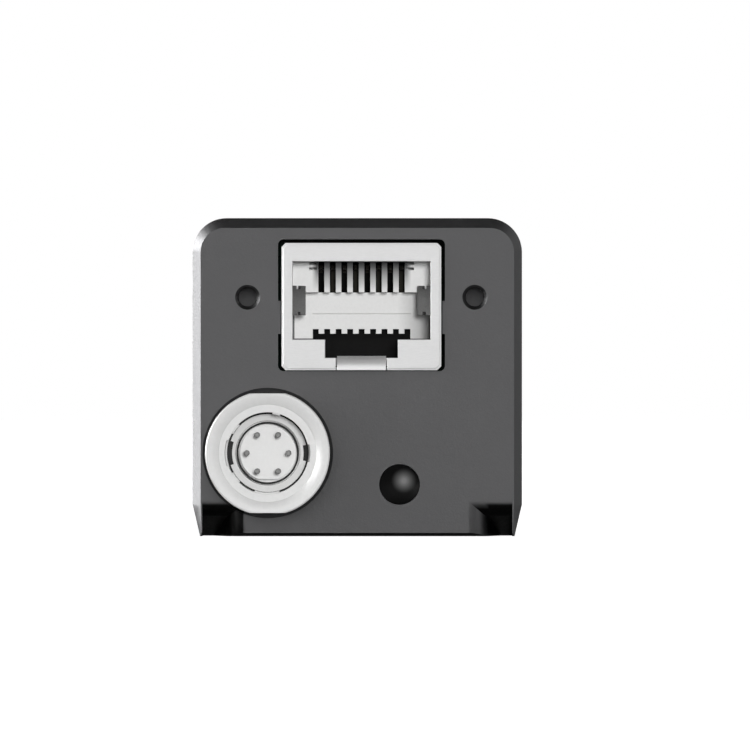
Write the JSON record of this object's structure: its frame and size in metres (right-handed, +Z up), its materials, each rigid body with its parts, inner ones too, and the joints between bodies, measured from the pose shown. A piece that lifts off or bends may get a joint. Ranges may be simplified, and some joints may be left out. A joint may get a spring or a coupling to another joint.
{
  "type": "machine vision camera",
  "caption": "Compact square machine vision camera: rear panel with network jack, round power connector and indicator, threaded lens mount in front, sensor and boards inside.",
  "frame": {"origin": "bottom centre of the whole camera, on the plane of its flat base", "axes": "+Z up, +Y along the lens axis towards the lens, -Y out of the connector panel, +X to the right as one looks at the panel"},
  "size_m": [0.029, 0.059, 0.028],
  "materials": {
    "housing_coat": "satin dark grey powder coat, fine texture",
    "mount_anodised": "satin black anodised, turned",
    "screw_steel": "blackened steel",
    "connector_nickel": "satin nickel plated brass",
    "jack_tinplate": "satin tin plated sheet",
    "jack_plastic": "moulded light grey plastic",
    "jack_dark_plastic": "moulded black plastic",
    "pin_nickel": "nickel plated pins",
    "connector_insulator": "moulded light grey plastic",
    "contact_gold": "gold plated",
    "brass_plain": "turned, plain",
    "seal_rubber": "matt black",
    "pad_silicone": "soft grey-blue pad",
    "optical_glass": "clear, coated",
    "sensor_ceramic": "dark ceramic",
    "sensor_silicon": "polished silicon",
    "board_laminate": "green solder mask",
    "chip_epoxy": "moulded black epoxy",
    "link_plastic": "moulded dark plastic",
    "crystal_can": "drawn metal can",
    "spreader_aluminium": "plain sheet",
    "light_pipe": "polished smoked plastic",
    "lamp_body": "moulded white plastic"
  },
  "bodies": {
    "root": {"rear_housing": "housing_coat", "front_housing": "housing_coat", "lens_mount": "mount_anodised", "filter_retainer": "mount_anodised", "housing_screws": "screw_steel", "stack_screws": "screw_steel", "power_connector_shell": "connector_nickel", "power_connector_sleeve": "connector_nickel", "power_connector_nut": "connector_nickel", "network_jack_shield": "jack_tinplate", "network_jack_housing": "jack_plastic", "network_jack_carrier": "jack_dark_plastic", "power_connector_insert": "connector_insulator", "network_jack_contacts": "contact_gold", "power_connector_pins": "pin_nickel", "front_spacers": "brass_plain", "rear_spacers": "brass_plain", "lens_mount_shim": "brass_plain", "housing_seal": "seal_rubber", "filter_seal": "seal_rubber", "sensor_gasket": "seal_rubber", "power_connector_seal": "seal_rubber", "thermal_pad": "pad_silicone", "filter_glass": "optical_glass", "sensor_cover_glass": "optical_glass", "sensor_package": "sensor_ceramic", "sensor_die": "sensor_silicon", "sensor_board": "board_laminate", "processor_board": "board_laminate", "interface_board": "board_laminate", "processor_chip": "chip_epoxy", "memory_chips": "chip_epoxy", "network_chip": "chip_epoxy", "magnetics_module": "chip_epoxy", "power_inductor": "chip_epoxy", "capacitors": "chip_epoxy", "interface_link_socket": "link_plastic", "processor_link_plug": "link_plastic", "processor_link_socket": "link_plastic", "sensor_link_plug": "link_plastic", "clock_crystal": "crystal_can", "heat_spreader": "spreader_aluminium", "indicator_light_pipe": "light_pipe", "indicator_lamp": "lamp_body"}
  },
  "joints": []
}
